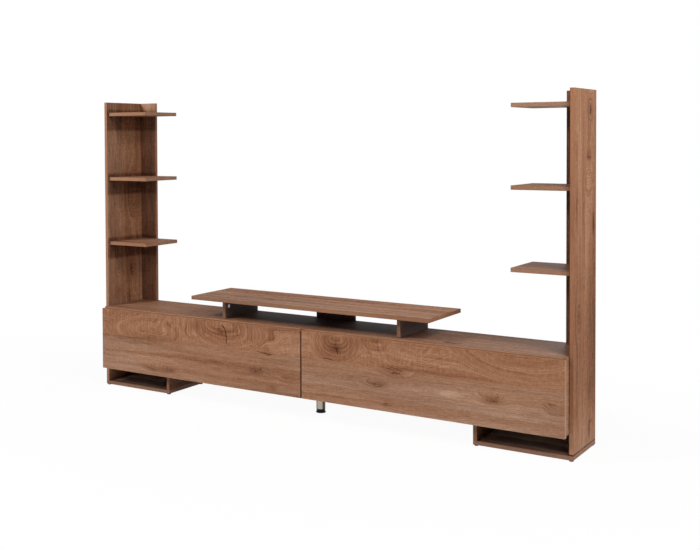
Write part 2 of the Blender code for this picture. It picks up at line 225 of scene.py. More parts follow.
def srgb(*levels):
    """A colour from 0 to 255 levels, as the eye reads them, to light values."""
    out = []
    for level in levels:
        share = level / 255
        out.append(share / 12.92 if share <= 0.04045 else ((share + 0.055) / 1.055) ** 2.4)
    return tuple(out)


# Oak print

# Each kind of streak: how many to a metre along the grain, their offset, how many to a metre across it, their
# offset, detail and roughness
STREAKS = {
    "wobble": (14, 0, 40, 0, 2.0, 0.5),
    "sway": (1.3, 0, 3.0, 5, 1.0, 0.5),
    "ripple": (6.0, 3, 16, 0, 1.0, 0.5),
    "broad": (1.3, 9, 12, 0, 2.0, 0.5),
    "hue": (0.9, 31, 15, 0, 2.0, 0.5),
    "bands": (1.2, 17, 30, 0, 2.0, 0.6),
    "rings": (1.0, 2, 74, 0, 2.0, 0.6),
    "fine": (15, 0, 270, 0, 2.0, 0.7),
    "speck": (75, 0, 300, 0, 1.0, 0.6),
    "hair": (42, 0, 1500, 0, 1.0, 0.6),
    "cross": (130, 0, 20, 0, 1.0, 0.5),
    "dash": (34, 7, 640, 0, 1.0, 0.5),
}
# How far each kind lightens and darkens the print
TONE_SHARES = {"broad": 0.28, "bands": 0.22, "rings": 0.26, "fine": 0.44, "hair": 0.18, "speck": 0.24}
# How far the dashes darken it, and how far the streaks of an edge band lighten and darken that
DASH_DEPTH, EDGE_DEPTH = 0.10, 0.20
# The depth of the cross grain, on a board of one plank and on a lower plank
PLAIN_HATCH, LOWER_HATCH = 0.10, 0.06
# The middle tone of a board's faces and of its edge band, from 0 to 1
FACE_TONE, EDGE_TONE = 0.51, 0.53

# How far the print moves across the grain for each metre into the board
LEAN = 0.41
# How far the grain sways and ripples across, on plain boards and added on the wildest, in metres
SWAY, WILD_SWAY = 0.05, 0.07
RIPPLE, WILD_RIPPLE = 0.010, 0.004
# The two printed planks of a face: the joint's half width and how far it strays, the share of the bend that
# the lower plank keeps, and where on the print the upper one was cut
JOINT_BLUR, JOINT_STRAY = 0.0012, 0.003
STRAIGHT_SHARE = 0.25
UPPER_ACROSS, UPPER_ALONG = 0.61, 3.7

# How ragged each kind of mark is
KNOT_STRAY, HEART_STRAY = 0.08, 3.0
CRACK_STRAY, CROSS_CRACK_STRAY, STAIN_STRAY = 0.016, 0.012, 0.02
# A knot: the share of its rings that shows without a heart, and their middle tone and depth in the print
HEARTLESS_SHARE = 0.5
RING_TONE, RING_DEPTH = 0.60, 0.20
# The torn heart of a knot: half length and half width, in metres, and its depth, smooth and torn
HEART_LONG, HEART_WIDE = 0.026, 0.017
HEART_DEPTH, TORN_DEPTH = 0.04, 0.24
CRACK_DEPTH = 0.5
# A fan: strokes to a radian, strokes to a metre away from the foot, and depth
FAN_STROKES, FAN_LENGTHS, FAN_DEPTH = 30, 9, 0.32

# The surface of the print: roughness, height of the pores in metres, and their strength
PRINT_ROUGHNESS = 0.56
PORE_HEIGHT, PORE_STRENGTH = 0.0001, 0.5

# Colours of the print from its darkest to its palest tone, brown and greyed
BROWN_TONES = (
    (0.0, srgb(62, 34, 23)),
    (0.22, srgb(115, 71, 48)),
    (0.5, srgb(155, 108, 78)),
    (1.0, srgb(204, 165, 137)),
)
GREYED_TONES = (
    (0.0, srgb(64, 45, 36)),
    (0.22, srgb(117, 84, 65)),
    (0.5, srgb(156, 119, 96)),
    (1.0, srgb(202, 172, 151)),
)


class Board(Finish):
    """The finish of one kind of board, in lengths along and across its grain."""

    def __init__(self, name, grain, across, face, shift, gloss):
        super().__init__(name, specular_ior_level=gloss)
        self.thick = 3 - grain - across
        self.along = self.axes[grain]
        self.across = self.axes[across]
        self.side = self.across + (self.axes[self.thick] - face) * LEAN
        self.start = self.along + shift
        self.wobble = self.layer("wobble", self.side) - 0.5
        self.upper = None

    def layer(self, name, side):
        """One kind of streak, as values about 0.5. side is the length across the grain that it follows."""
        along_scale, along_offset, side_scale, side_offset, detail, rough = STREAKS[name]
        along = self.start * along_scale
        side = side * side_scale
        if along_offset:
            along = along + along_offset
        if side_offset:
            side = side + side_offset
        return self.streaks(along, side, detail, rough)

    def oval(self, place, high, half_long, half_wide, stray=None):
        """Squared distance from the middle of an oval, 1 on its rim."""
        u = (self.along - place) * (1 / half_long)
        v = self.side - high if stray is None else self.side - high + stray
        v = v * (1 / half_wide)
        return u * u + v * v

    def join_planks(self, join):
        """Tells the upper printed plank from the lower one."""
        self.upper = (self.side + self.wobble * JOINT_STRAY).step(join - JOINT_BLUR, join + JOINT_BLUR)

    def bend_grain(self, figure):
        """Sets the field: the length across the grain, bent as the grain sways."""
        sway = self.layer("sway", self.side) - 0.5
        ripple = self.layer("ripple", self.side) - 0.5
        bend = sway * (SWAY + WILD_SWAY * figure) + ripple * (RIPPLE + WILD_RIPPLE * figure)
        if self.upper is not None:
            bend = bend * (self.upper * (1 - STRAIGHT_SHARE) + STRAIGHT_SHARE)
        self.field = self.side + bend

    def grow_knots(self, knots, join):
        """Bends the field round the knots. Gives back where the knots and their torn hearts are."""
        halos, hearts = [], []
        for place, high, half_long, half_wide, lift, dark in knots:
            outline = self.oval(place, high, half_long, half_wide) + self.wobble * KNOT_STRAY
            bump = outline.step(1.0, 0.0)
            if self.upper is not None:
                bump = bump * (self.upper if high > join else 1 - self.upper)
            self.field = self.field + bump * lift
            if dark:
                heart = self.oval(place, high, HEART_LONG, HEART_WIDE) + self.wobble * HEART_STRAY
                hearts.append(heart.fading() * dark)
            halos.append(bump * (HEARTLESS_SHARE + dark * (1 - HEARTLESS_SHARE)))
        return halos, hearts

    def fan_strokes(self, fans):
        """Fine strokes that spread from a foot."""
        tone = 0
        for place, high, foot, low, half_long, half_wide in fans:
            u = self.along - foot
            v = self.side - low
            reach = (u * u + v * v).math("SQRT")
            strokes = self.streaks(v.math("ARCTAN2", u) * FAN_STROKES, reach * FAN_LENGTHS) - 0.5
            near = self.oval(place, high, half_long, half_wide).step(1.4, 0.2)
            tone = tone + strokes * near * FAN_DEPTH
        return tone

    def comb_strokes(self, combs, cross):
        """Short strokes across the grain."""
        tone = 0
        for *oval, amount in combs:
            tone = tone + self.oval(*oval).fading() * (cross - 0.5) * amount
        return tone

    def cracks(self, cracks):
        """How dark the cracks are. One that is wider than long runs across the grain."""
        tone = 0
        for place, high, half_long, half_wide, lean, dark in cracks:
            u = self.along - place
            v = self.side - high
            if half_wide > half_long:
                u = u - v * lean + self.wobble * CROSS_CRACK_STRAY
            else:
                v = v - u * lean + self.wobble * CRACK_STRAY
            slit = ((u * (1 / half_long)) ** 2 + (v * (1 / half_wide)) ** 2).step(1.1, 0.3)
            broken = (self.wobble * 1.5 + 0.85).clip()
            tone = tone + slit * broken * dark * CRACK_DEPTH
        return tone

    def stains_and_painted_light(self, stains_and_painted_light):
        """How much paler each patch is, below 0 where it is dark; a few rows are painted light and painted
        shade, the rest are marks of the print.
        """
        tone = 0
        for *oval, amount in stains_and_painted_light:
            tone = tone + self.oval(*oval, self.wobble * STAIN_STRAY).fading() * amount
        return tone

    def shade_and_highlight_lines(self, shade_and_highlight_lines):
        """How dark the painted shade lines along joints, gaps, edges and under shelves are, below 0 where
        they are painted highlights.
        """
        tone = 0
        for axis, place, reach, amount, *limit in shade_and_highlight_lines:
            near = (self.axes[axis] - place).math("ABSOLUTE").step(reach, reach * 0.7)
            if limit:
                other, start, end = limit
                near = near * self.axes[other].math("ABSOLUTE").step(start, end)
            tone = tone + near * amount
        return tone

    def veiling(self, colour, shade_and_reflection_veils, broad, face):
        """Painted shade and painted reflection over the colour, as neutral patches on the board's faces."""
        for place, high, half_long, half_wide, amount, veil in shade_and_reflection_veils:
            u = (self.along - place) * (1 / half_long)
            v = (self.across - high + self.wobble * STAIN_STRAY) * (1 / half_wide)
            veiled = (u**4 + v**4 + broad * 0.3).step(1.3, 0.2) * face * amount
            colour = self.mix(veiled, colour, veil)
        return colour


def oak(
    title, grain, across, face=0.0, knots=(), cracks=(), stains_and_painted_light=(), fans=(), combs=(), shade_and_highlight_lines=(), shade_and_reflection_veils=(),
    join=None, shift=0.0, figure=0.0, hatch=0.16, ring_pitch=0.0175, ring_depth=0.05, ring_stray=9.0,
    greyed=0.8, depth=1.0, shade=0.0, trim=0.0, gloss=0.08,
):
    """Knotty oak print. grain and across are axis numbers; the third axis is the board's thickness.

    title: the material's name.

    face: the shown face's place on that third axis, so knots and cracks are given in true coordinates.
    knots: (along, across, half length, half width, lift, heart), in metres, with heart from 0 to 1.
    cracks: (along, across, half length, half width, lean, depth).
    stains: (along, across, half length, half width, amount), pale where the amount is above 0; a few rows are
    painted light and painted shade.
    fans: (along, across, foot along, foot across, half length, half width), fine strokes away from the foot.
    combs: (along, across, half length, half width, amount), short strokes across the grain.
    seams: (axis, place, reach, amount), painted shade where the amount is above 0, and painted highlight
    below. A line that shows
    on one face alone goes on with (axis, from, to): it fades in between those two distances from the middle.
    veils: (along, across, half length, half width, amount, colour), neutral patches of painted shade, and on
    the plinth floors also of painted reflection.
    join: the place across where two printed planks meet; the upper one is figured, the lower one straight.
    shift: how far along the print this board was cut. figure: how wild the grain is, from 0 to 1.
    hatch: the strength of the cross grain on the upper plank.
    ring_pitch, ring_depth, ring_stray: a knot's rings, their distance, strength and how far they wander.
    greyed: the share of greyed brown. depth: the contrast of the streaks.
    shade: how much paler the whole board is; below 0 on the boards that stand in shadow it is painted shade.
    trim: how much paler its edge band is than its faces.
    """
    board = Board(title, grain, across, face, shift, gloss)
    if join is not None:
        board.join_planks(join)
    upper = board.upper
    board.bend_grain(figure)
    halos, hearts = board.grow_knots(knots, join)
    if upper is not None:
        board.field = board.field + upper * UPPER_ACROSS
        board.start = board.start + upper * UPPER_ALONG

    streaks = {name: board.layer(name, board.side) for name in ("broad", "hue")}
    for name in ("bands", "rings", "fine", "speck", "hair", "cross", "dash"):
        streaks[name] = board.layer(name, board.field)
    broad, bands, rings = streaks["broad"], streaks["bands"], streaks["rings"]
    fine, hair, cross = streaks["fine"], streaks["hair"], streaks["cross"]
    dash = streaks["dash"].step(0.60, 0.76)

    tone = sum((streaks[name] - 0.5) * share for name, share in TONE_SHARES.items())
    tone = tone + (cross - 0.5) * (PLAIN_HATCH if upper is None else upper * hatch + LOWER_HATCH)
    tone = (tone - dash * DASH_DEPTH) * depth + (FACE_TONE + shade)
    if halos:
        lines = (board.field * (2 * math.pi / ring_pitch) + (bands - 0.5) * ring_stray).math("SINE")
        ringed = (bands - RING_TONE) * RING_DEPTH + (rings - RING_TONE) * RING_DEPTH
        tone = tone + (ringed + (lines - RING_TONE) * ring_depth) * sum(halos).clip()
    tone = tone + board.comb_strokes(combs, cross) + board.fan_strokes(fans)
    if hearts:
        torn = (cross * 0.45 + rings * 0.3 + fine * 0.25).step(0.44, 0.58)
        tone = tone - sum(hearts).clip() * (HEART_DEPTH + torn * TORN_DEPTH)
    tone = tone - board.cracks(cracks)

    # The edge band round a board: the same print in plain lengthwise lines
    edge = board.facing(board.thick).step(0.75, 0.60)
    band = (hair - 0.5) * EDGE_DEPTH + (broad - 0.5) * EDGE_DEPTH + (EDGE_TONE + shade + trim)
    tone = tone * (1 - edge) + band * edge
    tone = (tone + board.stains_and_painted_light(stains_and_painted_light) - board.shade_and_highlight_lines(shade_and_highlight_lines)).clip()

    brown = board.node("ShaderNodeValToRGB", {"stops": BROWN_TONES}, {"Fac": tone})
    dull = board.node("ShaderNodeValToRGB", {"stops": GREYED_TONES}, {"Fac": tone})
    share = (streaks["hue"].step(0.36, 0.62) * 0.6 + 0.4) * greyed
    if upper is not None:
        share = share * (1 - upper * 0.9)
    colour = board.veiling(board.mix(share, brown, dull), shade_and_reflection_veils, broad, 1 - edge)
    board.feed(base_color=colour, roughness=PRINT_ROUGHNESS + fine * 0.14 + dash * 0.08)
    board.bump(fine * 0.5 + hair * 0.3 - dash * 0.6, PORE_HEIGHT, PORE_STRENGTH)
    return board.material


# Other finishes

# Painted dark reflections as bands along the leg's tube: direction in degrees, and the cosine where the band
# starts
PAINTED_REFLECTIONS = ((6, 0.68), (-133, 0.91), (122, 0.88))
REFLECTION_DARK = srgb(52, 46, 38)


def back_sheet():
    """Thin fibreboard, lacquered grey, with a faint fibre and dust."""
    finish = Finish("dark back sheet", specular_ior_level=0.3)
    fibre = finish.clouds(160, 3.0, 0.6)
    veiling = finish.clouds(5).step(0.5, 0.8) * 0.3
    colour = finish.mix(fibre, srgb(172, 169, 166), srgb(188, 184, 180))
    finish.feed(base_color=finish.mix(veiling, colour, srgb(200, 196, 192)), roughness=0.5 + fibre * 0.2)
    finish.bump(fibre, 0.0001, 0.5)
    return finish.material


def plastic(name, dark, light, rough):
    """Moulded black plastic with spark-eroded grain and a little dust."""
    finish = Finish(name, specular_ior_level=0.22)
    grain = finish.clouds(2200, 2.0, 0.6)
    veiling = finish.clouds(60, 3.0, 0.6).step(0.5, 0.85)
    finish.feed(base_color=finish.mix(veiling, dark, light), roughness=rough + grain * 0.15)
    finish.bump(grain, 0.00006, 0.5)
    return finish.material


def metal(name, dark, light, rough, brushed, reflection_bands=()):
    """Plated or bronzed metal with faint brushing, smears and small marks.

    brushed: how many brush lines fit in a metre along each axis.
    smoke: (direction in degrees, cosine where the band starts), painted dark reflections as bands along the
    leg's polished tube.
    """
    finish = Finish(name, metallic=1.0)
    x, y, _ = finish.axes
    lines = finish.clouds(brushed, 3.0, 0.7)
    smear = finish.clouds(38, 3.0, 0.6)
    marks = finish.clouds(420, 1.0).step(0.72, 0.8)
    colour = finish.mix(lines * 0.6 + smear * 0.4, dark, light)
    colour = finish.mix(marks * 0.35, colour, dark)
    # Painted reflections: dark bands fixed round the tube
    for degrees, start in reflection_bands:
        turn = math.radians(degrees)
        toward = (x * math.cos(turn) + (y - LEG_Y) * math.sin(turn)) * (1 / LEG_RADIUS)
        colour = finish.mix((toward + smear * 0.06).step(start, start + 0.10) * 0.9, colour, REFLECTION_DARK)
    finish.feed(base_color=colour, roughness=rough + smear * 0.10 + lines * 0.08)
    finish.bump(lines + marks * -0.5, 0.00003, 0.4)
    return finish.material


def paint(name, dark, light, rough):
    """Black paint on steel, with orange peel."""
    finish = Finish(name, specular_ior_level=0.5)
    peel = finish.clouds(700)
    wear = finish.clouds(90, 3.0, 0.7).step(0.45, 0.8)
    finish.feed(base_color=finish.mix(wear, dark, light), roughness=rough + peel * 0.1)
    finish.bump(peel, 0.00005, 0.6)
    return finish.material


# How high the two printed planks of both flaps meet
PLANK_JOIN = 0.256

# Marks of the print, board by board, each row in the order that oak() gives
FLAP_LEFT_KNOTS = (
    (-0.398, 0.322, 0.240, 0.110, 0.280, 0.7),
    (-0.790, 0.258, 0.280, 0.118, 0.190, 0.0),
    (-1.037, 0.307, 0.110, 0.060, 0.030, 0.0),
    (-0.180, 0.300, 0.110, 0.060, 0.030, 0.0),
    (-0.172, 0.257, 0.070, 0.022, 0.010, 0.5),
    (-0.222, 0.176, 0.050, 0.020, 0.012, 0.6),
    (-0.054, 0.159, 0.070, 0.022, 0.012, 0.3),
    (-0.740, 0.117, 0.110, 0.026, 0.016, 0.0),
)
FLAP_LEFT_CRACKS = (
    (-0.389, 0.344, 0.0034, 0.018, -0.73, 1.0),
    (-0.377, 0.302, 0.0036, 0.034, -0.08, 1.0),
    (-0.412, 0.336, 0.012, 0.0020, -0.1, 0.5),
    (-0.408, 0.322, 0.014, 0.0020, 0.1, 0.5),
    (-0.178, 0.257, 0.055, 0.0026, -0.06, 0.8),
    (-0.160, 0.251, 0.022, 0.0020, 0.10, 0.6),
    (-0.222, 0.174, 0.012, 0.0030, 0.0, 0.5),
)
FLAP_LEFT_STAINS = (
    (-0.900, 0.240, 0.220, 0.012, -0.10),
    (-0.110, 0.225, 0.130, 0.012, -0.10),
    (-0.500, 0.200, 0.200, 0.014, -0.06),
    (-0.799, 0.116, 0.040, 0.010, -0.12),
    (-0.684, 0.121, 0.030, 0.010, -0.10),
    (-0.138, 0.115, 0.022, 0.010, -0.16),
    (-0.860, 0.160, 0.200, 0.030, 0.08),
    (-0.980, 0.120, 0.120, 0.030, 0.06),
    (-0.400, 0.318, 0.050, 0.030, -0.05),
    (-0.800, 0.270, 0.090, 0.024, -0.09),
)
FLAP_LEFT_COMBS = (
    (-0.270, 0.312, 0.080, 0.045, 0.40),
    (-0.530, 0.312, 0.060, 0.045, 0.34),
    (-0.700, 0.325, 0.120, 0.040, 0.40),
)
FLAP_RIGHT_KNOTS = (
    (0.163, 0.316, 0.125, 0.085, 0.140, 0.9),
    (0.338, 0.345, 0.070, 0.045, 0.045, 0.3),
    (0.429, 0.249, 0.090, 0.036, 0.034, 0.6),
    (0.342, 0.192, 0.070, 0.024, 0.024, 0.6),
    (0.385, 0.119, 0.040, 0.014, 0.008, 0.4),
    (0.089, 0.189, 0.040, 0.014, 0.006, 0.3),
    (0.960, 0.400, 0.330, 0.165, 0.300, 0.0),
    (0.812, 0.193, 0.080, 0.028, 0.018, 0.6),
    (1.060, 0.180, 0.060, 0.040, 0.018, 0.0),
)
FLAP_RIGHT_CRACKS = (
    (0.166, 0.304, 0.0030, 0.016, -0.35, 0.8),
    (0.161, 0.330, 0.0026, 0.010, 0.4, 0.5),
    (0.125, 0.266, 0.030, 0.0024, -0.06, 0.7),
    (0.436, 0.244, 0.012, 0.0022, 0.4, 0.6),
    (0.400, 0.257, 0.016, 0.0020, -0.2, 0.6),
    (0.418, 0.243, 0.018, 0.0020, 0.25, 0.6),
    (0.444, 0.258, 0.020, 0.0018, -0.30, 0.5),
    (0.410, 0.264, 0.012, 0.0016, 0.5, 0.4),
    (0.330, 0.190, 0.012, 0.0018, -0.3, 0.4),
    (0.452, 0.236, 0.010, 0.0020, -0.4, 0.5),
    (0.358, 0.186, 0.020, 0.0022, 0.15, 0.5),
    (0.385, 0.119, 0.018, 0.0022, 0.1, 0.6),
    (0.812, 0.196, 0.010, 0.0022, 0.3, 0.6),
    (0.822, 0.187, 0.014, 0.0020, -0.15, 0.5),
    (1.041, 0.206, 0.030, 0.0020, -0.2, 0.5),
)
FLAP_RIGHT_STAINS = (
    (0.316, 0.362, 0.050, 0.010, -0.16),
    (0.345, 0.325, 0.050, 0.012, -0.08),
    (0.560, 0.262, 0.240, 0.008, -0.08),
    (0.140, 0.160, 0.110, 0.016, 0.05),
    (0.110, 0.190, 0.200, 0.070, -0.06),
    (0.652, 0.193, 0.050, 0.010, 0.18),
    (0.900, 0.150, 0.200, 0.020, 0.06),
    (0.812, 0.193, 0.040, 0.014, -0.10),
    (0.152, 0.322, 0.060, 0.034, -0.16),
    (0.425, 0.251, 0.060, 0.016, -0.12),
    (0.350, 0.194, 0.055, 0.012, -0.10),
    (0.250, 0.340, 0.030, 0.020, -0.08),
    (0.150, 0.349, 0.050, 0.012, -0.14),
    (0.470, 0.247, 0.045, 0.012, 0.08),
)
FLAP_RIGHT_FANS = ((0.520, 0.318, 0.440, 0.240, 0.170, 0.055), (0.330, 0.330, 0.400, 0.180, 0.070, 0.040))
TALL_RIGHT_KNOTS = (
    (1.250, 0.072, 0.075, 0.056, 0.170, 0.7),
    (1.165, 0.052, 0.055, 0.056, 0.150, 0.0),
    (1.092, 0.052, 0.055, 0.056, 0.160, 0.1),
    (0.985, 0.048, 0.080, 0.060, 0.120, 0.0),
    (0.838, 0.115, 0.060, 0.016, 0.010, 0.4),
    (0.082, 0.074, 0.050, 0.018, 0.010, 0.7),
    (0.503, -0.070, 0.120, 0.030, 0.020, 0.0),
)
TALL_RIGHT_CRACKS = (
    (1.244, 0.080, 0.012, 0.0060, 0.35, 0.9),
    (1.262, 0.074, 0.010, 0.0040, -0.2, 0.7),
    (1.078, 0.067, 0.0030, 0.030, 0.0, 0.4),
    (1.084, 0.044, 0.018, 0.0040, 0.3, 0.35),
    (0.838, 0.120, 0.024, 0.0036, 0.0, 0.5),
    (0.104, 0.094, 0.004, 0.0160, 0.0, 0.7),
)
TALL_RIGHT_STAINS = (
    (1.078, 0.066, 0.020, 0.030, -0.12),
    (1.080, -0.078, 0.070, 0.010, -0.14),
    (0.905, -0.076, 0.055, 0.012, -0.26),
    (0.800, 0.050, 0.260, 0.030, 0.12),
    (1.180, -0.030, 0.180, 0.030, 0.02),
    (0.960, -0.010, 0.200, 0.014, -0.08),
    (0.840, 0.125, 0.050, 0.014, -0.10),
    (0.380, -0.062, 0.300, 0.012, -0.16),
    (0.420, 0.134, 0.300, 0.020, -0.08),
    (0.420, 0.030, 0.280, 0.200, -0.14),
    (0.225, 0.085, 0.055, 0.050, -0.12),
    (0.060, 0.000, 0.085, 0.300, 0.12),
    (0.860, -0.110, 0.160, 0.010, -0.11),
)
TALL_RIGHT_COMBS = ((0.965, 0.066, 0.075, 0.045, 0.22), (1.030, 0.060, 0.040, 0.030, 0.20))
TALL_LEFT_KNOTS = (
    (0.533, 0.058, 0.055, 0.030, 0.022, 0.35),
    (0.544, -0.047, 0.050, 0.024, 0.018, 0.4),
    (0.439, -0.041, 0.050, 0.020, 0.014, 0.4),
    (0.900, 0.060, 0.160, 0.060, 0.060, 0.0),
)
TALL_LEFT_CRACKS = (
    (0.533, 0.060, 0.014, 0.0020, 0.1, 0.5),
    (0.900, -0.060, 0.080, 0.0024, 0.0, 0.5),
    (1.060, -0.048, 0.060, 0.0020, 0.0, 0.4),
)
TALL_LEFT_STAINS = (
    (0.950, -0.060, 0.300, 0.010, -0.12),
    (1.150, 0.060, 0.160, 0.040, 0.06),
    (0.900, 0.085, 0.012, 0.050, -0.06),
    (0.930, 0.080, 0.008, 0.050, -0.05),
)
# Painted light: the left tower's back is paler at its top, above the top shelf, where light falls on it
STRIP_LEFT_PAINTED_LIGHT = ((TALL_TOP, -1.040, 0.036, 0.300, 0.30),)
TOP_KNOTS = ((0.634, -0.094, 0.060, 0.030, 0.024, 0.8),)
TOP_STAINS_AND_SHADE = (
    # The first row is painted shade under the riser, the others are marks of the print
    (0.000, 0.040, 0.420, 0.110, -0.16),
    (-0.760, 0.020, 0.200, 0.020, 0.06),
    (0.800, 0.060, 0.200, 0.020, -0.06),
)
RISER_KNOTS = ((0.250, 0.070, 0.140, 0.040, 0.030, 0.0), (-0.300, -0.070, 0.180, 0.040, 0.030, 0.0))
RISER_STAINS = (
    (-0.120, -0.040, 0.260, 0.010, -0.20),
    (-0.350, 0.050, 0.180, 0.012, -0.16),
    (0.200, 0.090, 0.240, 0.010, -0.18),
    (-0.100, 0.030, 0.200, 0.010, -0.12),
    (0.330, -0.060, 0.180, 0.010, 0.10),
)

# Painted shade in joints, gaps and along edges, and painted highlights on edges. A name that ends in ONLY
# limits them to
# one face of the board: they fade in within the board, just behind that face
FLAP_FRONT_ONLY = (Y, -FLAP_FACE - 0.00165, -FLAP_FACE - 0.00065)
# Painted highlight: the flaps are printed paler along their lower edge, where light catches it
FLAP_FOOT_HIGHLIGHT = (Z, FLAP_FOOT, 0.0022, -0.08)
# Painted shade: the flaps' front faces are darkened beside the gap between them, wider on the left flap
FLAP_LEFT_SHADE_AND_HIGHLIGHT = ((X, -FLAP_GAP_EDGE, 0.0036, 0.60, *FLAP_FRONT_ONLY), FLAP_FOOT_HIGHLIGHT)
FLAP_RIGHT_SHADE_AND_HIGHLIGHTS = (
    (X, FLAP_GAP_EDGE, 0.0012, 0.15, *FLAP_FRONT_ONLY),
    FLAP_FOOT_HIGHLIGHT,
    # Painted highlight along the right flap's outer edge
    (X, FLAP_OUTER_EDGE, 0.0012, -0.12),
)
# Painted shade on the right tall panel: a dark line at its foot, where it stands on the plinth, and over its
# inner face and the edge beside it, where it meets the cabinet end
TALL_PAINTED_SHADE = ((Z, TALL_FOOT + 0.0006, 0.0056, 0.50), (X, TALL_INNER, 0.0022, 0.35))
# Painted shade: a dark line on the cabinet ends' outer face, where the tall panel's front edge meets it
END_CONTACT_SHADE = ((Y, TALL_FRONT + 0.00035, 0.0036, 0.40, X, CABINET_SIDE - 0.0027, CABINET_SIDE - 0.0007),)
FLOOR_TOP_ONLY = (Z, PLINTH_FLOOR_TOP - 0.0013, PLINTH_FLOOR_TOP - 0.0003)
# Painted shade: the plinth floors' top is darkened just behind its front edge, under the flaps
PLINTH_FLOOR_SHADE = ((Y, TALL_FRONT + 0.00685, 0.0260, 0.40, *FLOOR_TOP_ONLY),)
# Painted shade: the riser is darkened along its front edge
RISER_EDGE_SHADE = ((Y, RISER_FRONT, 0.0030, 0.09),)

# Shade in the plinths, on the faces that look inwards
PLINTH_INSIDE_ONLY = (X, PLINTH_INNER_FACE - 0.0015, PLINTH_INNER_FACE - 0.0005)
PLINTH_SIDE_SHADES = ((Z, 0.060, 0.100, 0.08, *PLINTH_INSIDE_ONLY),)

# Shade under the shelves of the left tower, on the faces that look into it
SHADE_DROP, SHADE_REACH = 0.018, 0.058
TALL_INSIDE_ONLY = (X, TALL_INNER + 0.0010, TALL_INNER + 0.0002)
STRIP_FRONT_ONLY = (Y, STRIP_FACE + 0.00165, STRIP_FACE + 0.00065)
INNER_FACE_SHADES = tuple((Z, z - SHADE_DROP, SHADE_REACH, 0.28, *TALL_INSIDE_ONLY) for z in SHELF_UNDERSIDES)
STRIP_SHADES = tuple((Z, z - SHADE_DROP, SHADE_REACH, 0.18, *STRIP_FRONT_ONLY) for z in SHELF_UNDERSIDES)

# Painted shade and painted reflection as neutral colour over the print: along, across, half length, half
# width, amount, colour
# Painted reflection and shade on the plinth floors: pale grey at the back for the back sheet's reflection,
# dark grey further forward for shade
PLINTH_SHADE_AND_REFLECTION = tuple(
    (x, y, 0.200, half_wide, amount, colour)
    for y, half_wide, amount, colour in (
        (0.060, 0.125, 0.95, srgb(210, 209, 209)),
        (-0.038, 0.050, 0.92, srgb(134, 125, 121)),
    )
    for x in (-PLINTH_MIDDLE, PLINTH_MIDDLE)
)
# Painted shade under the riser: dark neutral grey over the cabinet top there, the riser supports and the
# centre support
TOP_PAINTED_SHADE = ((0.000, 0.060, 0.405, 0.130, 0.75, srgb(92, 90, 92)),)
SUPPORT_PAINTED_SHADE = ((0.018, 0.412, 0.200, 0.100, 0.75, srgb(96, 91, 90)),)
CENTRE_SUPPORT_PAINTED_SHADE = ((0.0, 0.412, 0.150, 0.100, 0.75, srgb(142, 134, 132)),)


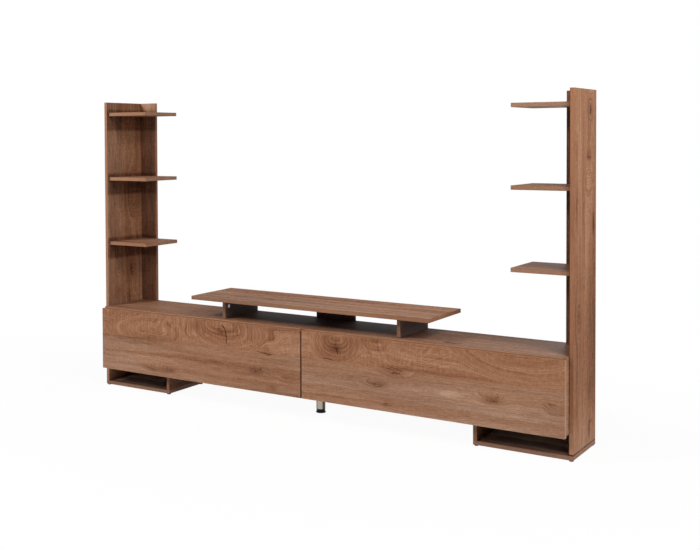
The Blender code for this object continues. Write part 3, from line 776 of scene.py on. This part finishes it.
def oak_finishes():
    """The finish of each kind of board, by the start of its name."""
    flap_left = oak(
        "oak left flap", X, Z, FLAP_FACE, FLAP_LEFT_KNOTS, FLAP_LEFT_CRACKS, FLAP_LEFT_STAINS,
        combs=FLAP_LEFT_COMBS, shade_and_highlight_lines=FLAP_LEFT_SHADE_AND_HIGHLIGHT, join=PLANK_JOIN, shift=2.0, figure=1.0,
    )
    flap_right = oak(
        "oak right flap", X, Z, FLAP_FACE, FLAP_RIGHT_KNOTS, FLAP_RIGHT_CRACKS, FLAP_RIGHT_STAINS,
        fans=FLAP_RIGHT_FANS, shade_and_highlight_lines=FLAP_RIGHT_SHADE_AND_HIGHLIGHTS, join=PLANK_JOIN, shift=6.0, figure=1.0, shade=0.03,
    )
    # Painted shade: the cabinet top is printed darker all over, as it gets less light than its lamps give it
    top = oak(
        "oak cabinet top", X, Y, CABINET_TOP, TOP_KNOTS, stains_and_painted_light=TOP_STAINS_AND_SHADE,
        shift=4.0, depth=1.4, shade=-0.135, shade_and_reflection_veils=TOP_PAINTED_SHADE,
    )
    plinth_floor = oak(
        "oak plinth floors", X, Y, shade_and_highlight_lines=PLINTH_FLOOR_SHADE, trim=-0.20, gloss=0.4, shade_and_reflection_veils=PLINTH_SHADE_AND_REFLECTION,
    )
    riser = oak(
        "oak riser", X, Y, RISER_TOP, RISER_KNOTS, stains_and_painted_light=RISER_STAINS,
        shade_and_highlight_lines=RISER_EDGE_SHADE, join=-0.003, shift=1.0, figure=0.2, depth=1.8, shade=-0.05,
    )
    tall_right = oak(
        "oak right tall panel", Z, Y, TALL_OUTER, TALL_RIGHT_KNOTS, TALL_RIGHT_CRACKS, TALL_RIGHT_STAINS,
        combs=TALL_RIGHT_COMBS, shade_and_highlight_lines=TALL_PAINTED_SHADE, join=-0.016, shift=3.0, figure=0.3, hatch=0.04,
        ring_pitch=0.064, ring_depth=0.17, ring_stray=3.0, greyed=0.0, depth=1.3,
    )
    tall_left = oak(
        "oak left tall panel", Z, Y, -TALL_INNER, TALL_LEFT_KNOTS, TALL_LEFT_CRACKS, TALL_LEFT_STAINS,
        shade_and_highlight_lines=INNER_FACE_SHADES, join=-0.007, shift=5.0, figure=0.3, hatch=0.06,
        ring_pitch=0.030, ring_depth=0.08, greyed=0.6, depth=1.3, shade=-0.03, trim=0.03,
    )
    # Painted shade: the left tower's back is printed darker, as it stands in the shadow of its side panel and
    # shelves
    strip_left = oak(
        "oak left tower back", Z, X, stains_and_painted_light=STRIP_LEFT_PAINTED_LIGHT, shade_and_highlight_lines=STRIP_SHADES,
        greyed=0.7, shade=-0.19, trim=0.10,
    )
    return {
        "flap_left": flap_left,
        "flap_right": flap_right,
        "side_panel_left": tall_left,
        "side_panel_right": tall_right,
        "tower_back_left": strip_left,
        # Painted shade: the right tower's back is printed darker still, as it stands in shadow
        "tower_back_right": oak("oak right tower back", Z, X, greyed=0.5, shift=7.0, shade=-0.29, trim=0.07),
        # Painted shade: the shelves are printed darker on their faces, their edge bands kept paler
        "shelf": oak("oak shelves", X, Y, depth=1.3, shade=-0.18, trim=0.14),
        "cabinet_top": top,
        "cabinet_bottom": oak("oak lying boards", X, Y, depth=1.3),
        "cabinet_end": oak("oak cabinet ends", Y, Z, shade_and_highlight_lines=END_CONTACT_SHADE),
        "cabinet_divider": oak("oak front to back boards", Y, Z),
        "plinth_bottom": plinth_floor,
        # Painted shade: the plinth sides are printed darker, as they stand in shade under the cabinet
        "plinth_inner_side": oak("oak plinth sides", Y, Z, shade_and_highlight_lines=PLINTH_SIDE_SHADES, shade=-0.28, trim=0.13),
        "riser_board": riser,
        "riser_support_centre": oak("oak centre support", X, Z, shade_and_reflection_veils=CENTRE_SUPPORT_PAINTED_SHADE),
        # Painted shade: the riser supports are printed darker, as they stand in shade under the riser
        "riser_support": oak("oak riser supports", Y, Z, shade_and_reflection_veils=SUPPORT_PAINTED_SHADE, shade=-0.12),
    }


def other_finishes():
    """The finish of each kind of sheet, plastic and steel piece, by the start of its name."""
    sheet = back_sheet()
    black = plastic("black plastic", srgb(6, 6, 6), srgb(24, 23, 22), rough=0.42)
    # The chrome gets painted dark reflections as bands along the leg's tube
    chrome = metal(
        "bright chrome", srgb(158, 148, 132), srgb(190, 180, 165),
        rough=0.16, brushed=(40, 40, 900), reflection_bands=PAINTED_REFLECTIONS,
    )
    zinc = metal(
        "bright zinc", srgb(170, 170, 174), srgb(214, 214, 216),
        rough=0.25, brushed=(500, 90, 90),
    )
    plated = metal(
        "plated steel", srgb(158, 160, 166), srgb(204, 205, 208),
        rough=0.28, brushed=(300, 300, 300),
    )
    bronze = metal(
        "bronzed steel", srgb(132, 98, 76), srgb(170, 130, 102),
        rough=0.42, brushed=(60, 900, 900),
    )
    tube = paint("black painted steel", srgb(16, 16, 17), srgb(40, 40, 42), rough=0.28)
    return {
        "cabinet_back": sheet,
        "plinth_back": sheet,
        "riser_cam": zinc,
        "glide": black,
        "leg_foot": black,
        "leg_insert": black,
        "leg_tube": chrome,
        "leg_plate": plated,
        "hinge": bronze,
        "strut_left_cylinder": tube,
        "strut_right_cylinder": tube,
        "strut": plated,
    }


def dress():
    """Gives every solid its finish, and adds the small fixings."""
    finishes = oak_finishes() | other_finishes()
    for name, node in nodes.items():
        node.data.materials.clear()
        node.data.materials.append(next(f for start, f in finishes.items() if name.startswith(start)))
    seated_sheets()
    for word, side in (("left", -1), ("right", 1)):
        hinge_screws(word, side, finishes["hinge"])
        bracket_screws(word, side, finishes["strut"])
    leg_screws(finishes["leg_plate"])
    flap_stops(finishes["glide"])


# How far a back sheet reaches into its rebate, past its solid
REBATE = 0.00028


def seated_sheets():
    """The back sheets reach into their rebates, so no daylight shows in the fitting gap round the solids."""
    for name, node in list(nodes.items()):
        if not name.startswith(("cabinet_back", "plinth_back")):
            continue
        low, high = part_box(name)
        middle = (low + high) / 2
        mesh = node.data.copy()
        for vertex in mesh.vertices:
            for axis in (X, Z):
                vertex.co[axis] += math.copysign(REBATE, vertex.co[axis] - middle[axis])
        piece = bpy.data.objects.new(f"{name}_sheet", mesh)
        bpy.context.collection.objects.link(piece)
        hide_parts(name)
        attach(piece, "cabinet")


# Small fixings

HEAD_SIDES = 24
TURNS = [2 * math.pi * i / HEAD_SIDES for i in range(HEAD_SIDES)]
SHARP_ANGLE = math.radians(40)
# Each screw stopped at another angle, in radians
TURN_BETWEEN_SCREWS = 1.1

# A screw head's rings and those of its crossed recess, as shares of its radius and its crown
HEAD_RING_SHARES = ((1.0, 0.0), (1.0, 0.3), (0.86, 0.75), (0.62, 1.0))
RECESS_RING_SHARES = ((1.0, 1.0), (0.8, 0.35))
RECESS_ARM_SHARE, RECESS_HALF_WIDTH_SHARE = 0.52, 0.13

# Screw heads: radius and crown
HINGE_HEAD, BRACKET_HEAD, LEG_HEAD = (0.0029, 0.00025), (0.0029, 0.0009), (0.0044, 0.0018)

# Screws of a hinge leaf: how many, the first one's distance from the cabinet's middle, and the pitch
LEAF_SCREWS = 9
FIXED_LEAF_FIRST, FIXED_LEAF_PITCH = 0.045, 0.1245
MOVING_LEAF_FIRST, MOVING_LEAF_PITCH = 0.062, 0.1200
# Their height above the leaf's lower edge, and how far a leaf stands off its board
LEAF_SCREW_UP = 0.0052
LEAF_AND_SEAT = 0.0010

# A strut's brackets: the sheet they are bent from, and the places of their screws from the bracket's middle
# or, along the flap, from its inner end
BRACKET_SHEET = 0.002
BRACKET_SCREW_OFF = 0.0085
WALL_SCREW_LIFT = 0.0068
FLAP_BRACKET_SCREW_IN = 0.0042
# The leg's screws, from the middle of its plate
LEG_SCREW_OFF = 0.024

# Where the stops sit along the cabinet's front edge
STOP_PLACES = (-1.040, -0.040, 0.040, 1.040)
# A stop's rings, from its foot: radius and height
STOP_RINGS = ((0.0040, 0.0), (0.0040, 0.0007), (0.0036, 0.0014), (0.0026, 0.0018), (0.0012, 0.0020))


def cross_outline(angle, arm, half_width):
    """Distance from the middle to the outline of a crossed recess."""
    turn = (angle + math.pi / 4) % (math.pi / 2) - math.pi / 4
    if abs(math.tan(turn)) < half_width / arm:
        return arm / math.cos(turn)
    return half_width / abs(math.sin(turn))


def lofted(name, body, places, look, rings_of, finish):
    """One piece with the same lofted head at every place. rings_of(turn) gives its rings from the foot up."""
    bm = bmesh.new()
    turn_to = Vector(look).to_track_quat("Z", "Y").to_matrix().to_4x4()
    for count, spot in enumerate(places):
        at = Matrix.Translation(spot) @ turn_to
        rings = rings_of(count * TURN_BETWEEN_SCREWS)
        rings = [[bm.verts.new(at @ Vector(point)) for point in points] for points in rings]
        bm.faces.new(reversed(rings[0]))
        for lower, upper in zip(rings, rings[1:]):
            for i in range(HEAD_SIDES):
                j = (i + 1) % HEAD_SIDES
                bm.faces.new((lower[i], lower[j], upper[j], upper[i]))
        bm.faces.new(rings[-1])
    mesh = bpy.data.meshes.new(name)
    bm.to_mesh(mesh)
    bm.free()
    mesh.shade_smooth()
    mesh.set_sharp_from_angle(angle=SHARP_ANGLE)
    mesh.materials.append(finish)
    piece = bpy.data.objects.new(name, mesh)
    bpy.context.collection.objects.link(piece)
    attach(piece, body)


def ring(reaches, height, first_turn=0.0):
    """Points round the axis at one height, each at its own reach from it."""
    turned = [(reach, turn + first_turn) for reach, turn in zip(reaches, TURNS)]
    return [(reach * math.cos(turn), reach * math.sin(turn), height) for reach, turn in turned]


def screws(name, body, places, look, head, finish):
    """Crowned screw heads with a crossed recess, each turned a little differently."""
    radius, crown = head
    arm, half_width = radius * RECESS_ARM_SHARE, radius * RECESS_HALF_WIDTH_SHARE
    round_outline = [radius] * HEAD_SIDES
    crossed_outline = [cross_outline(turn, arm, half_width) for turn in TURNS]

    def rings(first_turn):
        shapes = [(round_outline, *shares) for shares in HEAD_RING_SHARES]
        shapes += [(crossed_outline, *shares) for shares in RECESS_RING_SHARES]
        return [
            ring([reach * wide for reach in reaches], crown * up, first_turn) for reaches, wide, up in shapes
        ]

    lofted(name, body, places, look, rings, finish)


def hinge_screws(word, side, bronze):
    """Screws in both leaves of a flap's hinge."""
    line = bound(f"hinge_{word}_fixed_leaf", LOW, Z) + LEAF_SCREW_UP
    for leaf, body, y, look, first, pitch in (
        ("fixed", "cabinet", CABINET_FRONT - LEAF_AND_SEAT, -1, FIXED_LEAF_FIRST, FIXED_LEAF_PITCH),
        ("moving", f"flap_{word}", FLAP_BACK + LEAF_AND_SEAT, 1, MOVING_LEAF_FIRST, MOVING_LEAF_PITCH),
    ):
        places = [(side * (first + i * pitch), y, line) for i in range(LEAF_SCREWS)]
        name = f"hinge_{word}_{leaf}_screws"
        screws(name, body, places, (0, look, 0), HINGE_HEAD, bronze)


def bracket_screws(word, side, plated):
    """Two screws in each of a strut's brackets."""
    low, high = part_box(f"strut_{word}_wall_bracket")
    x = side * (max(-low[X], high[X]) - BRACKET_SHEET)
    y, z = (low[Y] + high[Y]) / 2, (low[Z] + high[Z]) / 2
    wall = [(x, y + i * BRACKET_SCREW_OFF, z + i * WALL_SCREW_LIFT) for i in (-1, 1)]
    screws(f"strut_{word}_wall_screws", "cabinet", wall, (-side, 0, 0), BRACKET_HEAD, plated)
    low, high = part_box(f"strut_{word}_flap_bracket")
    x = side * (min(abs(low[X]), abs(high[X])) + FLAP_BRACKET_SCREW_IN)
    y, z = low[Y] + BRACKET_SHEET, (low[Z] + high[Z]) / 2
    flap = [(x, y, z + i * BRACKET_SCREW_OFF) for i in (-1, 1)]
    screws(f"strut_{word}_flap_screws", f"flap_{word}", flap, (0, 1, 0), BRACKET_HEAD, plated)


def leg_screws(plated):
    """Four screws in the leg's plate, from below."""
    off = (-LEG_SCREW_OFF, LEG_SCREW_OFF)
    corners = [(x, LEG_Y + y, bound("leg_plate", LOW, Z)) for x in off for y in off]
    screws("leg_plate_screws", "cabinet", corners, (0, 0, -1), LEG_HEAD, plated)


def flap_stops(rubber):
    """Soft domed stops on the cabinet's front edge, behind the lower corners of the flaps."""
    middle_z = (bound("cabinet_bottom", LOW, Z) + bound("cabinet_bottom", HIGH, Z)) / 2
    places = [(x, CABINET_FRONT, middle_z) for x in STOP_PLACES]

    def rings(_):
        return [ring([radius] * HEAD_SIDES, height) for radius, height in STOP_RINGS]

    lofted("flap_stops", "cabinet", places, (0, -1, 0), rings, rubber)


# Studio

FLOOR_HALF = 30.0
# The floor lies this far below the glides
FLOOR_DROP = 0.0002
# How much of the lit floor shows near the object, with the shadow on it, and the distances from its middle
# between which that fades out; a distance to the side counts for less, by the third value
SHADOW_SHARE = 0.045
SHADOW_NEAR, SHADOW_FAR, SIDEWAYS_SHARE = 0.5, 1.7, 0.55

# Lamps: name, place, aim, size, power
LAMPS = (
    ("key lamp from the front left", (-2.6, -3.4, 3.4), (0, 0, 0.4), (1.2, 1.2), 150.0),
    ("high lamp from the right", (3.3, -1.8, 3.9), (0, 0, 0.5), (1.2, 1.2), 65.0),
    ("side lamp from the right", (3.8, -1.2, 2.0), (0.9, 0, 0.8), (1.0, 1.6), 48.0),
    ("near lamp from the right", (2.2, -1.4, 2.9), (0.8, 0, 0.8), (0.9, 0.9), 18.0),
    ("near lamp from the left", (-2.0, -1.6, 2.6), (-0.6, 0, 0.4), (0.9, 0.9), 8.0),
    ("low lamp from behind", (0.0, 4.6, 0.9), (0, 0, 0.5), (1.0, 0.8), 30.0),
)


def floor():
    """A floor that shows white to the camera and in gloss, and keeps a faint shadow near the object."""
    finish = Finish("white floor", base_color=(0.86, 0.86, 0.86, 1), roughness=0.9, specular_ior_level=0.0)
    x, y, _ = finish.axes
    away = ((x * SIDEWAYS_SHARE) ** 2 + y**2).math("SQRT").step(SHADOW_NEAR, SHADOW_FAR)
    seen = finish.node("ShaderNodeLightPath", output="Is Camera Ray")
    share = seen.math("MAXIMUM", seen.output("Is Glossy Ray")) * (away * SHADOW_SHARE + (1 - SHADOW_SHARE))
    white = finish.node("ShaderNodeEmission", None, {"Strength": 1.0})
    lit = Value(finish, finish.shader.outputs[0])
    blend = finish.node("ShaderNodeMixShader", None, {0: share, 1: lit, 2: white})
    finish.give(finish.tree.nodes["Material Output"].inputs["Surface"], blend)

    bm = bmesh.new()
    corners = ((-1, -1), (1, -1), (1, 1), (-1, 1))
    bm.faces.new([bm.verts.new((x * FLOOR_HALF, y * FLOOR_HALF, 0)) for x, y in corners])
    mesh = bpy.data.meshes.new("floor")
    bm.to_mesh(mesh)
    bm.free()
    mesh.materials.append(finish.material)
    piece = bpy.data.objects.new("floor", mesh)
    piece.location.z = -FLOOR_DROP
    bpy.context.collection.objects.link(piece)


def room():
    """A room that is white to the camera, in gloss and through glass, and gives no light of its own."""
    world = bpy.data.worlds.new("studio")
    bpy.context.scene.world = world
    world.use_nodes = True
    made = Nodes(world.node_tree)
    seen = path = made.node("ShaderNodeLightPath", output="Is Camera Ray")
    for name in ("Is Glossy Ray", "Is Transmission Ray"):
        seen = seen.math("MAXIMUM", path.output(name))
    ground = made.tree.nodes["Background"]
    made.give(ground.inputs["Color"], (1, 1, 1, 1))
    made.give(ground.inputs["Strength"], seen)


def lamps():
    for name, spot, aim, size, power in LAMPS:
        lamp = bpy.data.lights.new(name, "AREA")
        lamp.shape = "RECTANGLE"
        lamp.size, lamp.size_y = size
        lamp.energy = power
        light = bpy.data.objects.new(name, lamp)
        light.location = spot
        direction = Vector(aim) - Vector(spot)
        light.rotation_euler = direction.to_track_quat("-Z", "Y").to_euler()
        bpy.context.collection.objects.link(light)


# The photograph's view: its size in pixels, the lens, where the camera points and where it stands
WIDE, HIGH_PIXELS = 700, 550
FOCAL_PIXELS = 1071.7291
CENTRE_X_PIXELS, CENTRE_Y_PIXELS = 240.0, 169.5551
SENSOR_WIDTH = 36.0
YAW, PITCH, ROLL = math.radians(34.8075), math.radians(1.6274), math.radians(-0.3382)
EYE = Vector((2.2836, TALL_FRONT - 3.7581, 1.1506))


def camera():
    data = bpy.data.cameras.new("camera")
    data.sensor_width = SENSOR_WIDTH
    data.lens = FOCAL_PIXELS * SENSOR_WIDTH / WIDE
    data.shift_x = (WIDE / 2 - CENTRE_X_PIXELS) / WIDE
    data.shift_y = (CENTRE_Y_PIXELS - HIGH_PIXELS / 2) / WIDE
    eye = bpy.data.objects.new("camera", data)
    forward = Vector((-math.sin(YAW) * math.cos(PITCH), math.cos(YAW) * math.cos(PITCH), -math.sin(PITCH)))
    flat_right = Vector((math.cos(YAW), math.sin(YAW), 0))
    flat_up = flat_right.cross(forward)
    right = math.cos(ROLL) * flat_right + math.sin(ROLL) * flat_up
    up = math.cos(ROLL) * flat_up - math.sin(ROLL) * flat_right
    turn = Matrix((right, up, -forward)).transposed()
    eye.matrix_world = Matrix.Translation(EYE) @ turn.to_4x4()
    bpy.context.collection.objects.link(eye)
    bpy.context.scene.camera = eye


dress()
floor()
room()
lamps()
camera()
bpy.context.scene.view_settings.view_transform = "Standard"
